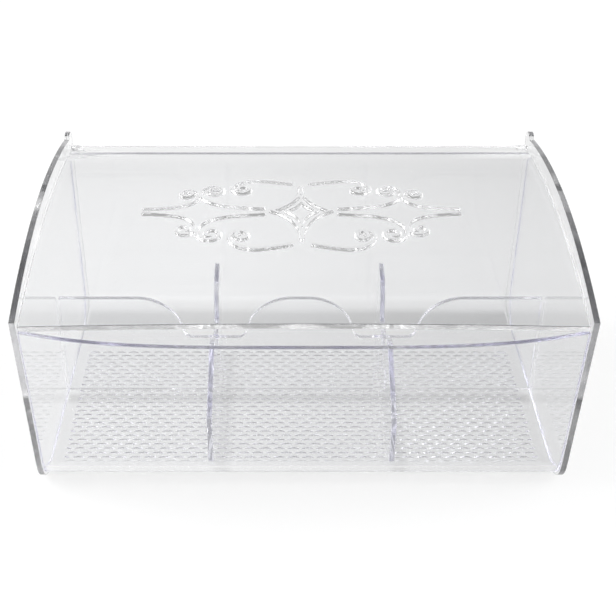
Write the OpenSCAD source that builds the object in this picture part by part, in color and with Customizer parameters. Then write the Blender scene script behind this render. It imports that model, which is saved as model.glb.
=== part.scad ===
// Clear tea bag box with six compartments: a moulded tray between two side panels,
// a curved lid that turns on two pins in the panels' rear ears, and a lift-out
// divider grid of one cross partition and two front-to-rear dividers.
// X runs along the width, the front is towards -Y, and Z is up.
// The origin is under the middle of the box, on the surface that it stands on.

/* [Box] */
// Width over both side panels
body_w = 220; // [180:1:260]
// Depth from the front point of the side panels to their rear edge
body_d = 147; // [135:1:160]
// Height of the side panels at the top of their curve
body_h = 105.2; // [100:0.1:112]
// Thickness of a side panel
panel_t = 2.3; // [2:0.1:3]

/* [Side panels] */
// Radius of the curved top edge
panel_top_radius = 254; // [240:1:300]
// How far the top of the curve lies behind the middle of the box
panel_crown_y = 13; // [5:1:16]
// Height of the front point, where the top curve meets the front edge
panel_nose_z = 89.5; // [86:0.5:92]
// Forward lean of the front edge, in degrees
front_lean = 6; // [3:0.5:8]
// Radius of the lower front corner
panel_toe_radius = 15; // [8:0.5:18]
// Radius of the lower rear corner
panel_heel_radius = 8.5; // [6:0.5:10]
// Radius of the ear at the top rear corner
ear_radius = 5; // [4:0.5:6]
// Height of the top of the ear, which stands up from the curve
ear_z = 101.9; // [100.5:0.1:103]

/* [Tray] */
// Thickness of the tray's front and rear walls
wall_t = 2.3; // [2:0.1:3]
// Thickness of the floor
floor_t = 2.4; // [2:0.1:3]
// How far the tray's front face lies inside the panels' front edges
tray_inset = 0.8; // [0.5:0.1:1.5]
// How far the tray's rear face lies inside the panels' rear edges, below the lid's tail
tray_setback = 9.7; // [8:0.1:12]
// How far the underside of the tray is held off the ground by the panels
tray_lift = 1; // [0.5:0.1:1.5]
// Outer radius of the bend between floor and front wall
front_bend_radius = 15; // [8:0.5:17]
// Outer radius of the bend between floor and rear wall
rear_bend_radius = 17; // [8:0.5:18]
// Height of the front rim in the middle of its dip
rim_mid_z = 76.7; // [70:0.1:79]
// Height of the front rim at the side panels, where the closed lid rests
rim_end_z = 84.5; // [82:0.1:84.7]
// How late the rim rises towards its ends: 2 is a plain arc, more is flatter in the middle
rim_rise = 3.8; // [2:0.1:6]
// Height of the rear wall
rear_wall_z = 92.2; // [88:0.1:92.2]

/* [Lid] */
// Thickness of the lid
lid_t = 2.2; // [1.8:0.1:2.4]
// Outer radius of the lid's curve
lid_radius = 345; // [335:1:400]
// Height of the top of the lid
lid_crown_z = 98.4; // [98:0.1:99]
// How far the top of the lid lies behind the middle of the box
lid_crown_y = 14; // [10:1:16]
// Gap between the lid's ends and the side panels
lid_side_gap = 0.4; // [0.3:0.1:0.8]
// How far the middle of the lid's front edge is drawn back behind its ends
lid_bow = 1.5; // [0.5:0.1:4]
// Height of the hinge line
hinge_z = 92.6; // [92:0.1:93]
// Distance from the rear edge of the panels to the hinge line
hinge_setback = 4.1; // [3.8:0.1:4.5]
// Outer radius of the bosses at the lid's ends
boss_radius = 2.2; // [2.1:0.1:2.6]
// Length of a boss
boss_length = 4.5; // [4.2:0.1:8]

/* [Hinge pins] */
// Radius of a hinge pin
pin_radius = 1; // [0.9:0.05:1.1]
// Running clearance of a pin in the lid's boss, measured on the radius
pin_clearance = 0.06; // [0.03:0.01:0.1]
// How deep a pin reaches into the boss
pin_reach = 3.2; // [2.5:0.1:3.5]
// Radius of the pin's head, which sits in a counterbore in the panel
pin_head_radius = 1.8; // [1.5:0.1:2.2]
// Thickness of the pin's head
pin_head_t = 0.8; // [0.6:0.1:1.2]

/* [Divider grid] */
// Thickness of the grid's plates
plate_t = 2.2; // [1.8:0.1:2.6]
// Gap under and at the ends of the plates
plate_gap = 0.3; // [0.3:0.1:0.8]
// Distance of each divider's middle from the middle of the box
divider_x = 38.2; // [36:0.1:42]
// Distance of the partition's middle behind the middle of the box
partition_y = 0.7; // [-4:0.1:6]
// Height of the partition
partition_z = 52.7; // [50:0.1:60]
// Height of the dividers behind the partition
divider_rear_z = 52; // [51:0.1:55]
// Height of the dividers just in front of the partition
divider_front_z = 46; // [44:0.1:50]
// Height of the dividers at their rounded front corner
divider_nose_z = 33; // [30:0.1:36]
// Distance of the dividers' front edge from the middle of the box
divider_front_y = -56; // [-57:0.1:-50]
// Distance of the dividers' rear edge behind the middle of the box
divider_rear_y = 32.4; // [32:0.1:44]
// Radius of the dividers' rounded upper front corner
divider_nose_radius = 7; // [3:0.5:10]
// Radius of the dividers' lower front corner
divider_toe_radius = 7; // [6:0.5:9]
// Radius of the dividers' rear corners
divider_heel_radius = 1.5; // [1:0.1:1.6]
// Width of the flat bottom of the finger scoops where the plates cross
scoop_w = 20.2; // [16:0.1:21]
// Height of the bottom of the scoops
scoop_z = 32.5; // [31:0.1:34]
// Radius of the scoops' lower corners
scoop_foot_radius = 4; // [2:0.5:5]
// Radius of the partition's round shoulders beside the scoops
shoulder_radius = 21; // [14:0.5:22]
// Radius of the dividers' shoulders behind the partition
rear_shoulder_radius = 16; // [12:0.1:16.2]
// Radius of the dividers' shoulders in front of the partition
front_shoulder_radius = 9; // [7:0.1:9.5]
// Width of the partition's slot for a divider
slot_w = 3.6; // [3:0.1:4.5]
// Height at which the halved plates meet
slot_z = 26.5; // [24:0.1:28]
// Width of the slot's wider mouth
mouth_w = 7.3; // [6:0.1:9]
// Height of the slot's wider mouth
mouth_z = 15; // [10:0.5:18]

/* [Hidden] */

big_fn = 360;
mid_fn = 64;
cut = 1;

front_y = -body_d / 2;
rear_y = body_d / 2;
inner_w = body_w - 2 * panel_t;
panel_foot_y = front_y + panel_nose_z * tan(front_lean);
tray_rear_y = rear_y - tray_setback;
tray_foot_y = panel_foot_y + tray_inset / cos(front_lean);
hinge_y = rear_y - hinge_setback;
pin_bore_radius = pin_radius + pin_clearance;
lid_w = inner_w - 2 * lid_side_gap;
lid_front_y = front_y + 1.3;
lid_tail = 1.9;
floor_z = tray_lift + floor_t;
plate_foot_z = floor_z + plate_gap;
partition_w = inner_w - 4 * plate_gap;

// Place of a front edge that leans forward, at a given height
function leaning_y(foot_y, z) = foot_y - z * tan(front_lean);

// Centre of a corner arc between the base line at z_base and a front edge that leans forward
function toe_centre(foot_y, z_base, r) =
    [leaning_y(foot_y, z_base + r) + r / cos(front_lean), z_base + r];

// Point where that arc meets the leaning edge
function toe_touch(c, r) = c + r * [-cos(front_lean), -sin(front_lean)];

// Height of the front rim at a distance x from the middle
function rim_z(x) = rim_mid_z + (rim_end_z - rim_mid_z) * pow(abs(x) / (inner_w / 2), rim_rise);

// Stretches a flat outline drawn in Y and Z along X
module along_x(x_from, x_to) {
    translate([x_from, 0, 0])
        rotate([90, 0, 90])
            linear_extrude(x_to - x_from)
                children();
}

// Stretches a flat outline drawn in X and Z along Y
module along_y(y_from, y_to) {
    translate([0, y_to, 0])
        rotate([90, 0, 0])
            linear_extrude(y_to - y_from)
                children();
}

// Side of the tray: two walls and a floor joined by round bends, filled up to z_top
module tray_side(foot_y, back_y, z_base, r_front, r_rear, z_top) {
    toe = toe_centre(foot_y, z_base, r_front);
    touch = toe_touch(toe, r_front);
    heel = [back_y - r_rear, z_base + r_rear];
    polygon([
        [toe[0], z_base],
        [heel[0], z_base],
        [back_y, heel[1]],
        [back_y, z_top],
        [leaning_y(foot_y, z_top), z_top],
        touch
    ]);
    translate(toe)
        circle(r_front, $fn = mid_fn);
    translate(heel)
        circle(r_rear, $fn = mid_fn);
}

// Shallow dip of the front rim, as the outline of what is cut away
module rim_dip() {
    half = inner_w / 2 + cut;
    steps = 40;
    polygon(concat(
        [for (i = [-steps:steps]) let (x = half * i / steps) [x, rim_z(x)]],
        [[half, body_h], [-half, body_h]]
    ));
}

module tray() {
    color([0.86, 0.88, 0.95, 0.5])
    difference() {
        along_x(-inner_w / 2, inner_w / 2)
            tray_side(tray_foot_y, tray_rear_y, tray_lift,
                front_bend_radius, rear_bend_radius, rear_wall_z);
        along_x(-inner_w / 2 - cut, inner_w / 2 + cut)
            tray_side(tray_foot_y + wall_t / cos(front_lean), tray_rear_y - wall_t, floor_z,
                front_bend_radius - wall_t, rear_bend_radius - wall_t, rear_wall_z + cut);
        along_y(front_y - cut, 0)
            rim_dip();
    }
}

// Side panel's outline: leaning front edge, round toe and heel, curved top and a round ear
module panel_side() {
    toe = toe_centre(panel_foot_y, 0, panel_toe_radius);
    heel = [rear_y - panel_heel_radius, panel_heel_radius];
    crown = [panel_crown_y, body_h - panel_top_radius];
    ear = [rear_y - ear_radius, ear_z - ear_radius];
    intersection() {
        union() {
            polygon([
                [toe[0], 0],
                [heel[0], 0],
                [rear_y, heel[1]],
                [rear_y, ear[1]],
                [ear[0], ear[1]],
                [ear[0], body_h + cut],
                [front_y, body_h + cut],
                [front_y, panel_nose_z],
                toe_touch(toe, panel_toe_radius)
            ]);
            translate(toe)
                circle(panel_toe_radius, $fn = mid_fn);
            translate(heel)
                circle(panel_heel_radius, $fn = mid_fn);
        }
        translate(crown)
            circle(panel_top_radius, $fn = big_fn);
    }
    translate(ear)
        circle(ear_radius, $fn = mid_fn);
}

// Side panel on one side, -1 left and 1 right, with its counterbored pin hole
module side_panel(side) {
    color([0.80, 0.82, 0.93, 0.5])
    difference() {
        along_x(side * (body_w - panel_t) / 2 - panel_t / 2, side * (body_w - panel_t) / 2 + panel_t / 2)
            panel_side();
        translate([side * (inner_w / 2 - cut), hinge_y, hinge_z])
            rotate([0, side * 90, 0])
                cylinder(r = pin_radius, h = panel_t + 2 * cut, $fn = mid_fn);
        translate([side * (body_w / 2 - pin_head_t), hinge_y, hinge_z])
            rotate([0, side * 90, 0])
                cylinder(r = pin_head_radius, h = pin_head_t + cut, $fn = mid_fn);
    }
}

// Flanged pin, pressed into a side panel and reaching into the lid's boss
module hinge_pin(side) {
    color([0.92, 0.93, 0.97, 0.6])
    translate([side * (body_w / 2 - pin_head_t), hinge_y, hinge_z]) {
        rotate([0, side * 90, 0])
            cylinder(r = pin_head_radius, h = pin_head_t, $fn = mid_fn);
        rotate([0, -side * 90, 0])
            cylinder(r = pin_radius, h = panel_t - pin_head_t + lid_side_gap + pin_reach, $fn = mid_fn);
    }
}

// Lid's section: a curved sheet with a square front edge and a fully rounded rear edge
module lid_side() {
    crown = [lid_crown_y, lid_crown_z - lid_radius];
    mid_reach = lid_radius - lid_t / 2;
    tail_y = hinge_y + lid_tail;
    tail = [tail_y, crown[1] + sqrt(pow(mid_reach, 2) - pow(tail_y - crown[0], 2))];
    intersection() {
        difference() {
            translate(crown)
                circle(lid_radius, $fn = big_fn);
            translate(crown)
                circle(lid_radius - lid_t, $fn = big_fn);
        }
        translate([front_y, hinge_z / 2])
            square([tail_y - front_y, lid_crown_z]);
    }
    translate(tail)
        circle(lid_t / 2, $fn = mid_fn);
}

// Plan of what is cut away in front of the lid's bowed front edge
module lid_front_cut() {
    half = lid_w / 2 + cut;
    steps = 12;
    polygon(concat(
        [for (i = [-steps:steps]) let (x = half * i / steps)
            [x, lid_front_y + lid_bow * (1 - pow(2 * x / lid_w, 2))]],
        [[half, front_y - cut], [-half, front_y - cut]]
    ));
}

module lid() {
    color([0.88, 0.90, 0.96, 0.4])
    difference() {
        union() {
            along_x(-lid_w / 2, lid_w / 2)
                lid_side();
            for (side = [-1, 1])
                translate([side * lid_w / 2, hinge_y, hinge_z])
                    rotate([0, -side * 90, 0])
                        cylinder(r = boss_radius, h = boss_length, $fn = mid_fn);
        }
        linear_extrude(body_h)
            lid_front_cut();
        for (side = [-1, 1])
            translate([side * (lid_w / 2 + cut), hinge_y, hinge_z])
                rotate([0, -side * 90, 0])
                    cylinder(r = pin_bore_radius, h = pin_reach + 0.5 + cut, $fn = mid_fn);
    }
}

// Half of a finger scoop in a plate of height z_top: flat bottom, round foot, round shoulder
module scoop_half(side, z_top, radius) {
    foot = [scoop_w / 2, scoop_z + scoop_foot_radius];
    drop = z_top - radius - foot[1];
    shoulder = foot + [sqrt(pow(radius + scoop_foot_radius, 2) - pow(drop, 2)), drop];
    mirror([side < 0 ? 1 : 0, 0]) {
        difference() {
            polygon([
                [-cut, scoop_z],
                [foot[0], scoop_z],
                foot,
                shoulder,
                [shoulder[0], z_top + cut],
                [-cut, z_top + cut]
            ]);
            translate(shoulder)
                circle(radius, $fn = mid_fn);
        }
        translate(foot)
            circle(scoop_foot_radius, $fn = mid_fn);
    }
}

// Cross partition with a scoop over each divider and stepped slots open at the bottom
module partition() {
    half = partition_w / 2;
    color([0.90, 0.91, 0.97, 0.5])
    along_y(partition_y - plate_t / 2, partition_y + plate_t / 2)
        difference() {
            translate([-half, plate_foot_z])
                square([partition_w, partition_z - plate_foot_z]);
            for (side = [-1, 1])
                translate([side * divider_x, 0]) {
                    scoop_half(-1, partition_z, shoulder_radius);
                    scoop_half(1, partition_z, shoulder_radius);
                    translate([-slot_w / 2, 0])
                        square([slot_w, slot_z]);
                    translate([-mouth_w / 2, 0])
                        square([mouth_w, mouth_z]);
                }
        }
}

// Divider's outline: low round nose, slope up to the scoop, then a higher rear shoulder
module divider_side() {
    nose_r = divider_nose_radius;
    nose = [divider_front_y + nose_r, divider_nose_z - nose_r];
    peak_r = front_shoulder_radius;
    peak_z = divider_front_z - peak_r;
    foot_reach = peak_r + scoop_foot_radius;
    foot_drop = peak_z - scoop_z - scoop_foot_radius;
    peak = [partition_y - scoop_w / 2 - sqrt(pow(foot_reach, 2) - pow(foot_drop, 2)), peak_z];
    run = peak - nose;
    slope = atan(run[1] / run[0]) + asin((peak_r - nose_r) / norm(run));
    up = [-sin(slope), cos(slope)];
    toe = [divider_front_y, plate_foot_z] + divider_toe_radius * [1, 1];
    heel = [divider_rear_y, plate_foot_z] + divider_heel_radius * [-1, 1];
    top = [divider_rear_y, divider_rear_z] - divider_heel_radius * [1, 1];
    difference() {
        union() {
            polygon([
                [toe[0], plate_foot_z],
                [heel[0], plate_foot_z],
                heel,
                [divider_rear_y, heel[1]],
                [divider_rear_y, top[1]],
                top,
                [top[0], divider_rear_z],
                [partition_y, divider_rear_z],
                [partition_y, peak[1]],
                peak,
                peak + peak_r * up,
                nose + nose_r * up,
                nose,
                [divider_front_y, nose[1]],
                [divider_front_y, toe[1]],
                toe
            ]);
            translate(nose)
                circle(nose_r, $fn = mid_fn);
            translate(peak)
                circle(peak_r, $fn = mid_fn);
            translate(toe)
                circle(divider_toe_radius, $fn = mid_fn);
            for (corner = [heel, top])
                translate(corner)
                    circle(divider_heel_radius, $fn = mid_fn);
        }
        translate([partition_y, 0]) {
            scoop_half(-1, divider_front_z, front_shoulder_radius);
            scoop_half(1, divider_rear_z, rear_shoulder_radius);
        }
        translate([partition_y - plate_t / 2 - plate_gap, slot_z - plate_gap])
            square([plate_t + 2 * plate_gap, divider_rear_z]);
    }
}

module divider(side) {
    color([0.84, 0.86, 0.97, 0.5])
    along_x(side * divider_x - plate_t / 2, side * divider_x + plate_t / 2)
        divider_side();
}

tray();
side_panel(-1);  // side_panel_left
side_panel(1);  // side_panel_right
lid();
hinge_pin(-1);  // hinge_pin_left
hinge_pin(1);  // hinge_pin_right
partition();
divider(-1);  // divider_left
divider(1);  // divider_right
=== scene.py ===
import math

import bmesh
import bpy
from mathutils import Matrix, Vector, kdtree


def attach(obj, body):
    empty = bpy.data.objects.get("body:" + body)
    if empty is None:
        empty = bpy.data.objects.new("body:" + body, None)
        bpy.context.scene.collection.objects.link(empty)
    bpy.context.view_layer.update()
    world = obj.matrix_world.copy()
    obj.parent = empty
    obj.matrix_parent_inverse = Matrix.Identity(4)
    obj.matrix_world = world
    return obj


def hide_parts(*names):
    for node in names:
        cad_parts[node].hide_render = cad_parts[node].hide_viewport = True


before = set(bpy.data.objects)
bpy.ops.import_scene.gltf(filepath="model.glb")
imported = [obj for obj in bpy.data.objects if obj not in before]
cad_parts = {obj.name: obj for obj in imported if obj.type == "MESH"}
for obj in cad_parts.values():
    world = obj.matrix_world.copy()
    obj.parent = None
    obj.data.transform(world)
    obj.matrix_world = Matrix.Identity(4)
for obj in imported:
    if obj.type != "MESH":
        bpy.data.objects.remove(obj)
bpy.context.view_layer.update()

MM = 0.001


# Every piece of the box is moulded in the same crystal clear plastic. It is as clear as
# glass through its thickness. Along its edges it has a painted violet grey shade, with
# painted reflections, for the look of light that has come a long way inside the sheet.

class Value:
    """An output of a shader node, so that shader arithmetic reads as plain expressions."""

    def __init__(self, shader, socket):
        self.shader = shader
        self.socket = socket

    def _do(self, operation, *values):
        return self.shader.node("ShaderNodeMath", {"operation": operation}, dict(enumerate(values)))

    def __add__(self, other): return self._do("ADD", self, other)
    def __radd__(self, other): return self._do("ADD", other, self)
    def __sub__(self, other): return self._do("SUBTRACT", self, other)
    def __rsub__(self, other): return self._do("SUBTRACT", other, self)
    def __mul__(self, other): return self._do("MULTIPLY", self, other)
    def __truediv__(self, other): return self._do("DIVIDE", self, other)
    def __pow__(self, other): return self._do("POWER", self, other)
    def __gt__(self, other): return self._do("GREATER_THAN", self, other)
    def __lt__(self, other): return self._do("LESS_THAN", self, other)
    def __abs__(self): return self._do("ABSOLUTE", self)
    def top(self, other): return self._do("MAXIMUM", self, other)
    def low(self, other): return self._do("MINIMUM", self, other)
    def part(self): return self._do("FRACT", self)

    def output(self, name):
        return Value(self.shader, self.socket.node.outputs[name])


class Shader:
    """A material or world under construction."""

    def __init__(self, owner):
        owner.use_nodes = True
        self.owner = owner
        self.tree = owner.node_tree
        self.tree.nodes.clear()

    def node(self, kind, settings=None, inputs=None, output=0):
        """Adds a node, sets it up, fills or links its sockets, and gives one of its outputs."""
        made = self.tree.nodes.new(kind)
        for name, value in (settings or {}).items():
            setattr(made, name, value)
        for name, value in (inputs or {}).items():
            if isinstance(value, Value):
                self.tree.links.new(value.socket, made.inputs[name])
            else:
                made.inputs[name].default_value = value
        return Value(self, made.outputs[output]) if made.outputs else made


# The painted shade of a sheet along its narrow edges, and the color that light takes inside it.
VIOLET = {"edge": (0.62, 0.61, 0.80, 1.0), "inside": (0.46, 0.45, 0.58, 1.0)}
GREY = {"edge": (0.36, 0.36, 0.37, 1.0), "inside": (0.42, 0.42, 0.44, 1.0)}
DARK = {"edge": (0.15, 0.15, 0.16, 1.0), "inside": (0.45, 0.45, 0.46, 1.0)}
FACE_COLOR = (0.985, 0.988, 0.992, 1.0)
POLYSTYRENE_IOR = 1.57
ROUNDING = 0.25 * MM


def clear_plastic(name, tint, density, height=None, relief=0.0):
    """Polished clear plastic, painted with shade along its edges, and an optional moulded texture.
    """
    shader = Shader(bpy.data.materials.new(name))
    place = shader.node("ShaderNodeTexCoord", output="Object")
    haze = shader.node("ShaderNodeTexNoise", None,
                       {"Vector": place, "Scale": 55.0, "Detail": 3.0, "Roughness": 0.6})
    ripple = shader.node("ShaderNodeTexNoise", None,
                         {"Vector": place, "Scale": 26.0, "Detail": 1.0, "Roughness": 0.4})
    surface = shader.node("ShaderNodeBump", None,
                          {"Height": ripple, "Strength": 1.0, "Distance": 0.03 * MM})
    if height is not None:
        surface = shader.node("ShaderNodeBump", None,
                              {"Height": height(shader, place), "Normal": surface,
                               "Strength": 1.0, "Distance": relief})
    # Painted shade on the edge faces, in the amount stored on each face.
    edge = shader.node("ShaderNodeAttribute", {"attribute_name": "edge"}, output="Fac")
    if tint is not DARK:
        # Lighter patches break up the painted shade, as painted reflections along the edges.
        painted_reflection_patches = shader.node("ShaderNodeTexNoise", None,
                              {"Vector": place, "Scale": 48.0, "Detail": 2.0, "Roughness": 0.5})
        edge = edge * ((painted_reflection_patches - 0.36) * 6.0).top(0.1).low(1.0)
    color = shader.node("ShaderNodeMix", {"data_type": "RGBA"},
                        {0: edge, 6: FACE_COLOR, 7: tint["edge"]}, output=2)
    skin = shader.node("ShaderNodeBsdfPrincipled", None, {
        "Base Color": color,
        "Roughness": 0.015 + haze * 0.03,
        "IOR": POLYSTYRENE_IOR,
        "Transmission Weight": 1.0,
        "Normal": surface,
    })
    inside = shader.node("ShaderNodeVolumeAbsorption", None,
                         {"Color": tint["inside"], "Density": density})
    shader.node("ShaderNodeOutputMaterial", None, {"Surface": skin, "Volume": inside})
    return shader.owner


def mark_edges(mesh, is_edge):
    """Stores on each face how much painted edge shade it has, by its normal and its center."""
    layer = mesh.attributes.new("edge", "FLOAT", "FACE")
    layer.data.foreach_set("value", [float(is_edge(f.normal, f.center)) for f in mesh.polygons])


def rounded_copy(node, name, radius, is_edge, rearmost=1.0):
    """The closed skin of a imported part, with its sharp edges rounded in front of rearmost."""
    bm = bmesh.new()
    bm.from_mesh(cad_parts[node].data)
    bmesh.ops.remove_doubles(bm, verts=bm.verts, dist=0.001 * MM)
    bmesh.ops.dissolve_limit(bm, angle_limit=math.radians(0.3), verts=bm.verts, edges=bm.edges)
    sharp = [e for e in bm.edges if e.is_manifold and e.calc_face_angle() > math.radians(35)
             and max(e.verts[0].co.y, e.verts[1].co.y) < rearmost]
    bmesh.ops.bevel(bm, geom=sharp, offset=radius, offset_type="OFFSET", affect="EDGES",
                    segments=2, profile=0.5, material=-1, clamp_overlap=True)
    mesh = bpy.data.meshes.new(name)
    bm.to_mesh(mesh)
    bm.free()
    mesh.shade_smooth()
    piece = bpy.data.objects.new(name, mesh)
    bpy.context.scene.collection.objects.link(piece)
    # Each face keeps its share of painted edge shade.
    mark_edges(mesh, is_edge)
    normals = piece.modifiers.new("even_shading", "WEIGHTED_NORMAL")
    normals.keep_sharp = True
    return piece


def finish_piece(piece, material, body, slot, *nodes):
    """Gives a piece its material and its body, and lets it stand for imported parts."""
    piece.data.materials.clear()
    piece.data.materials.append(material)
    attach(piece, body)
    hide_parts(*nodes)


# The tray is one sheet of clear plastic, moulded with round bends into a front wall, a
# floor and a rear wall. It is bonded between the two side panels, 1 mm above the table,
# and the upper face of its floor has a fine woven texture.

LENS_ACROSS, LENS_ALONG = 6.2 * MM, 5.8 * MM
WEAVE_HALF_X, WEAVE_MIDDLE_Y, WEAVE_HALF_Y = 102.0 * MM, -10.0 * MM, 43.0 * MM
FLOOR_TOP_RANGE = (2.0 * MM, 4.5 * MM)
WEAVE_RELIEF = 0.85 * MM
BOND_GAP = 0.9992


def weave(shader, place):
    """Staggered rows of short, slightly bowed lens shapes, raised on the floor's upper face."""
    x = shader.node("ShaderNodeSeparateXYZ", None, {0: place})
    y, z = x.output("Y"), x.output("Z")

    def lenses(shift):
        across = (x / LENS_ACROSS + (shift + 0.5)).part() - 0.5
        along = (y / LENS_ALONG + shift).part() - 0.5
        bowed = along + across * across * 0.9
        return (1.0 - (across / 0.44) ** 2.0 - (bowed / 0.20) ** 2.0).top(0.0)

    margin = (abs(x) < WEAVE_HALF_X) * (abs(y - WEAVE_MIDDLE_Y) < WEAVE_HALF_Y)
    low, high = FLOOR_TOP_RANGE
    return (lenses(0.0) + lenses(0.5)) * margin * (z < high) * (z > low)


tray_skin = clear_plastic("tray_clear", VIOLET, 3.0, weave, WEAVE_RELIEF)
# Painted shade on the tray's ends and on the upper faces of its front rim.
tray = rounded_copy("tray", "tray_sheet", ROUNDING,
                    lambda n, c: abs(n.x) > 0.3 or (c.z > 60 * MM and n.z > 0.5 and c.y < 0))
tray.data.transform(Matrix.Diagonal((BOND_GAP, 1, 1, 1)))
finish_piece(tray, tray_skin, "base", "tray_plastic", "tray")


# The two side panels are flat plates with a curved top and a rounded ear at the rear.
# They are bonded to the tray's ends, and the box stands on their straight lower edges.

panel_skin = clear_plastic("panel_clear", GREY, 4.0)
for side in ("left", "right"):
    # Painted shade on the panels' narrow edges, in front of their rear ears.
    panel = rounded_copy("side_panel_" + side, "panel_" + side, ROUNDING,
                         lambda n, c: abs(n.x) < 0.5 and c.y <= 52 * MM)
    finish_piece(panel, panel_skin, "base", "panel_plastic", "side_panel_" + side)


# The two hinge pins are pressed into the panels' ears from inside. Each reaches into a
# small boss of the lid, which turns on them.

pin_skin = clear_plastic("pin_clear", GREY, 4.0)
for side in ("left", "right"):
    pin = rounded_copy("hinge_pin_" + side, "pin_" + side, 0.12 * MM, lambda n, c: False)
    finish_piece(pin, pin_skin, "base", "pin_plastic", "hinge_pin_" + side)


# The partition stands across the tray, and the two dividers run from front to rear. All
# three are loose plates of the same plastic, halved over each other at their slots, and
# they lift out of the box.

grid_skin = clear_plastic("grid_clear", VIOLET, 2.5)
for side in ("left", "right"):
    # Painted shade on the dividers' narrow edges, strongest on their front edges.
    divider = rounded_copy("divider_" + side, "divider_plate_" + side, ROUNDING,
                           lambda n, c: (abs(n.x) < 0.5) * (1.0 if n.y < -0.4 else 0.1))
    finish_piece(divider, grid_skin, "dividers", "divider_plastic", "divider_" + side)
# Painted shade on the partition's narrow edges, strongest from 5 to 27 mm above the table.
partition = rounded_copy("partition", "partition_plate", 0.4 * MM,
                         lambda n, c: (abs(n.y) < 0.8) * (1.0 if 5 * MM < c.z < 27 * MM else 0.12))
finish_piece(partition, grid_skin, "partition", "divider_plastic", "partition")


# The lid is one curved sheet with a small boss at each rear corner, and it rests on the
# tray's rim. A line ornament stands up from its top: a hollow-sided lozenge between
# four pairs of scrolls, moulded with the sheet.

LID_RADIUS, LID_CROWN_Y, LID_CROWN_Z = 345.0 * MM, 14.0 * MM, 98.4 * MM
STROKE_WIDTH, STROKE_HEIGHT, STROKE_FLANK = 2.2 * MM, 0.85 * MM, 0.45 * MM
ORNAMENT_X, ORNAMENT_Y = 0.0, -2.0 * MM
FIELD_HALF_X, FIELD_HALF_Y, FIELD_CELL = 69.0 * MM, 37.0 * MM, 6.0 * MM


def scroll(start, heading, length, turn, steps=200):
    """A line that starts straight and winds up into a volute, in millimetres."""
    x, y = start
    way, line = math.radians(heading), [(x, y)]
    for i in range(steps):
        way += math.radians(turn) * 3 / steps * ((i + 0.5) / steps) ** 2
        x += math.cos(way) * length / steps
        y += math.sin(way) * length / steps
        line.append((x, y))
    return line


def hollow_side(tip_x, tip_y, depth, steps=60):
    """A quarter of a lozenge: an arc between its two tips that sinks towards the middle."""
    span = math.hypot(tip_x, tip_y)
    middle = (tip_x / 2 + tip_y / span * depth, tip_y / 2 + tip_x / span * depth)
    radius = math.hypot(middle[0] - tip_x, middle[1])
    first = math.atan2(-middle[1], tip_x - middle[0]) % math.tau
    last = math.atan2(tip_y - middle[1], -middle[0]) % math.tau
    turns = [first + (last - first) * i / steps for i in range(steps + 1)]
    return [(middle[0] + radius * math.cos(t), middle[1] + radius * math.sin(t)) for t in turns]


strokes = [hollow_side(12.5, 21, 19), hollow_side(6.5, 12, 11), scroll((16, 2.2), 5, 62, 560),
           scroll((66, 1.8), 175, 50, -520), scroll((4.5, 24.5), 14, 50, -520)]
marks = [(sx * x * MM + ORNAMENT_X, sy * y * MM + ORNAMENT_Y, 0)
         for stroke in strokes for x, y in stroke for sx in (1, -1) for sy in (1, -1)]
nearest = kdtree.KDTree(len(marks))
for i, mark in enumerate(marks):
    nearest.insert(mark, i)
nearest.balance()

lid_skin = clear_plastic("lid_clear", DARK, 1.6)
# Dark painted shade on the sloping faces along the lid's front edge.
lid = rounded_copy("lid", "lid_sheet", 0.6 * MM,
                   lambda n, c: 0.05 < n.z < 0.94 and c.y < -30 * MM, 58 * MM)
bm = bmesh.new()
bm.from_mesh(lid.data)


def in_field(face):
    """Whether a face belongs to the part of the lid's upper side that the ornament stands on."""
    center = face.calc_center_median()
    return (face.normal.z > 0.9 and center.z > 93.5 * MM
            and abs(center.x - ORNAMENT_X) < FIELD_HALF_X
            and abs(center.y - ORNAMENT_Y) < FIELD_HALF_Y)


def cut_across(faces, point, normal):
    """Cuts the faces along a plane, without parting them."""
    parts = {e for f in faces for e in f.edges} | {v for f in faces for v in f.verts} | set(faces)
    bmesh.ops.bisect_plane(bm, geom=list(parts), dist=0.001 * MM, plane_co=point, plane_no=normal)


for side in (1, -1):
    upward = [f for f in bm.faces if f.normal.z > 0.9]
    cut_across(upward, (ORNAMENT_X + side * FIELD_HALF_X, 0, 0), (1, 0, 0))
    upward = [f for f in bm.faces if f.normal.z > 0.9]
    cut_across(upward, (0, ORNAMENT_Y + side * FIELD_HALF_Y, 0), (0, 1, 0))
for i in range(1, int(2 * FIELD_HALF_X / FIELD_CELL)):
    field = [f for f in bm.faces if in_field(f)]
    cut_across(field, (ORNAMENT_X - FIELD_HALF_X + i * FIELD_CELL, 0, 0), (1, 0, 0))
bmesh.ops.subdivide_edges(bm, edges=list({e for f in bm.faces if in_field(f) for e in f.edges}),
                          cuts=15, use_grid_fill=True)
for vert in {v for f in bm.faces if in_field(f) for v in f.verts}:
    _, _, reach = nearest.find((vert.co.x, vert.co.y, 0))
    rise = min(1.0, max(0.0, (STROKE_WIDTH / 2 - reach) / STROKE_FLANK))
    bow = math.sqrt(LID_RADIUS ** 2 - (vert.co.y - LID_CROWN_Y) ** 2) - LID_RADIUS
    vert.co.z = LID_CROWN_Z + bow + STROKE_HEIGHT * rise * rise * (3 - 2 * rise)
bm.to_mesh(lid.data)
bm.free()
lid.data.shade_smooth()
finish_piece(lid, lid_skin, "lid", "lid_plastic", "lid")


# The box stands on white paper in a bright room that is lightest at the left and right,
# with a plain soft box at each side. The camera looks down on it from the front.

FLOOR_DROP = 0.2 * MM
BOUNCES = 96
PICTURE_PX, FOCAL_PX, AXIS_PX = 616, 1134.89, 279.86
CAMERA_PLACE, CAMERA_TILT = (-9.05 * MM, -421.97 * MM, 326.91 * MM), 33.436


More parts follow.
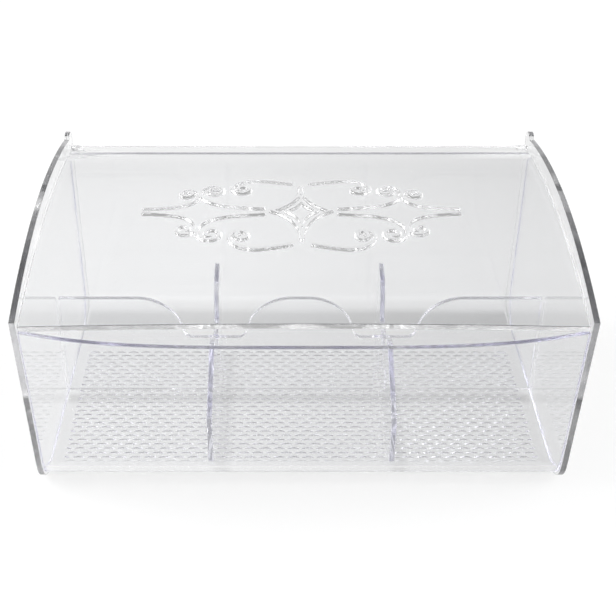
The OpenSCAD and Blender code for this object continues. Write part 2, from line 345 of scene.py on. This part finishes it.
def soft_box(name, place, side, power):
    """A square white lamp that faces the middle of the floor."""
    data = bpy.data.lights.new(name, "AREA")
    data.shape = "RECTANGLE"
    data.size = data.size_y = side
    data.energy = power
    lamp = bpy.data.objects.new(name, data)
    bpy.context.scene.collection.objects.link(lamp)
    lamp.location = place
    lamp.rotation_euler = (-Vector(place)).to_track_quat("-Z", "Y").to_euler()


bm = bmesh.new()
bmesh.ops.create_grid(bm, x_segments=8, y_segments=8, size=4.0)
floor_mesh = bpy.data.meshes.new("floor")
bm.to_mesh(floor_mesh)
bm.free()
floor = bpy.data.objects.new("floor", floor_mesh)
bpy.context.scene.collection.objects.link(floor)
floor.location.z = -FLOOR_DROP

GLOW_TO_CAMERA, GLOW_IN_BOX = 0.76, 0.85
# Where the strips of painted shadow and painted light lie on the paper.
REAR_FOOT_Y, PARTITION_FOOT_Y, BEHIND_BOX_Y = 62.5 * MM, -3.5 * MM, 84.0 * MM
LEFT_PLATE_X, RIGHT_PLATE_X = -34.0 * MM, 42.0 * MM
PLATES_MIDDLE_Y, PLATES_HALF_Y, BOX_HALF_X = -14.0 * MM, 47.0 * MM, 107.0 * MM

# The paper glows softly in what is seen through the plastic and reflected by it. Painted shade
# makes it darker on the right, with painted shadows at the foot of the rear wall, the partition
# and the plates, and a faint painted light behind the box.
sweep = Shader(bpy.data.materials.new("floor_paper"))
ray = sweep.node("ShaderNodeLightPath", output="Is Camera Ray")
seen_in_box = ray.output("Is Glossy Ray").top(ray.output("Is Transmission Ray"))
looked_at = (ray * GLOW_TO_CAMERA).top(seen_in_box * GLOW_IN_BOX)
across = sweep.node("ShaderNodeSeparateXYZ", None, {
    0: sweep.node("ShaderNodeTexCoord", output="Object")}, output=0)
along = across.output("Y")


def soft_strip(offset, half_width):
    """One along the middle of a strip on the paper, fading to zero at its sides."""
    return (1.5 - abs(offset) / half_width).top(0.0).low(1.0)


# Painted shade: the paper grows darker towards the right.
painted_dimming_to_right = ((across + 0.05) / 0.2).top(0.0).low(1.0)
painted_shadow_at_rear_wall = soft_strip(along - REAR_FOOT_Y, 7.5 * MM) * (0.22 + painted_dimming_to_right * 0.12)
painted_shadow_at_partition = soft_strip(along - PARTITION_FOOT_Y, 3.0 * MM) * 0.2
painted_shadow_left_plate = soft_strip(across - LEFT_PLATE_X, 3.2 * MM)
painted_shadow_right_plate = soft_strip(across - RIGHT_PLATE_X, 3.2 * MM)
painted_shadow_beside_dividers = ((painted_shadow_left_plate + painted_shadow_right_plate) * 0.14
                   * (abs(along - PLATES_MIDDLE_Y) < PLATES_HALF_Y))
# Painted light: a faint lighter strip on the paper behind the box.
painted_light_behind_box = soft_strip(along - BEHIND_BOX_Y, 6.0 * MM) * 0.05
under_box = abs(across) < BOX_HALF_X
painted_shade = (painted_shadow_at_rear_wall + painted_shadow_at_partition + painted_shadow_beside_dividers - painted_light_behind_box) * under_box
painted_shade_tone = (0.95 - painted_dimming_to_right * 0.18 - painted_shade).top(ray)
grey = sweep.node("ShaderNodeCombineColor", None, {0: painted_shade_tone, 1: painted_shade_tone, 2: painted_shade_tone})
paper = sweep.node("ShaderNodeBsdfDiffuse", None, {"Color": (0.93, 0.93, 0.93, 1.0)})
white = sweep.node("ShaderNodeEmission", None, {"Color": grey, "Strength": 1.0})
seen = sweep.node("ShaderNodeMixShader", None, {0: looked_at, 1: paper, 2: white})
sweep.node("ShaderNodeOutputMaterial", None, {"Surface": seen})
floor_mesh.materials.append(sweep.owner)

world = bpy.data.worlds.new("studio")
bpy.context.scene.world = world
sky = Shader(world)
camera_ray = sky.node("ShaderNodeLightPath", output="Is Camera Ray")
way = sky.node("ShaderNodeTexCoord", output="Generated")
aside = sky.node("ShaderNodeSeparateXYZ", None, {0: way}, output=0)
height = aside.output("Z")

levels = sky.node("ShaderNodeValToRGB", None, {"Fac": height})
stops = levels.socket.node.color_ramp.elements
stops[0].position, stops[0].color = 0.0, (0.9, 0.9, 0.9, 1)
stops[1].position, stops[1].color = 1.0, (0.42, 0.42, 0.42, 1)
for at, level in ((0.12, 0.8), (0.3, 0.42)):
    stop = stops.new(at)
    stop.color = (level, level, level, 1)
backdrop = sky.node("ShaderNodeBackground", None, {"Color": (1, 1, 1, 1), "Strength": 1.0})
room = sky.node("ShaderNodeBackground", None, {"Color": levels, "Strength": 1.0})
windows = sky.node("ShaderNodeBackground", None, {"Color": (1, 1, 1, 1), "Strength": 2.4})
side_glow = ((abs(aside) - 0.5) / 0.3).top(0.0).low(1.0) * (height / 0.3).top(0.0).low(1.0)
lit = sky.node("ShaderNodeMixShader", None, {0: side_glow, 1: room, 2: windows})
mix = sky.node("ShaderNodeMixShader", None, {0: camera_ray, 1: lit, 2: backdrop})
sky.node("ShaderNodeOutputWorld", None, {"Surface": mix})

soft_box("left", (-1.5, 0.1, 1.3), 1.1, 24)
soft_box("right", (1.6, -0.2, 1.3), 1.2, 14)

camera_data = bpy.data.cameras.new("camera")
camera_data.sensor_width = 36.0
camera_data.lens = FOCAL_PX / PICTURE_PX * camera_data.sensor_width
camera_data.shift_x = (PICTURE_PX / 2 - AXIS_PX) / PICTURE_PX
camera = bpy.data.objects.new("camera", camera_data)
bpy.context.scene.collection.objects.link(camera)
camera.location = CAMERA_PLACE
camera.rotation_euler = (math.radians(90 - CAMERA_TILT), 0, 0)
bpy.context.scene.camera = camera

bpy.context.scene.view_settings.view_transform = "Standard"

# Light runs a long way inside the sheets, so it is followed through many reflections.
cycles = bpy.context.scene.cycles
cycles.max_bounces = cycles.glossy_bounces = cycles.transmission_bounces = BOUNCES
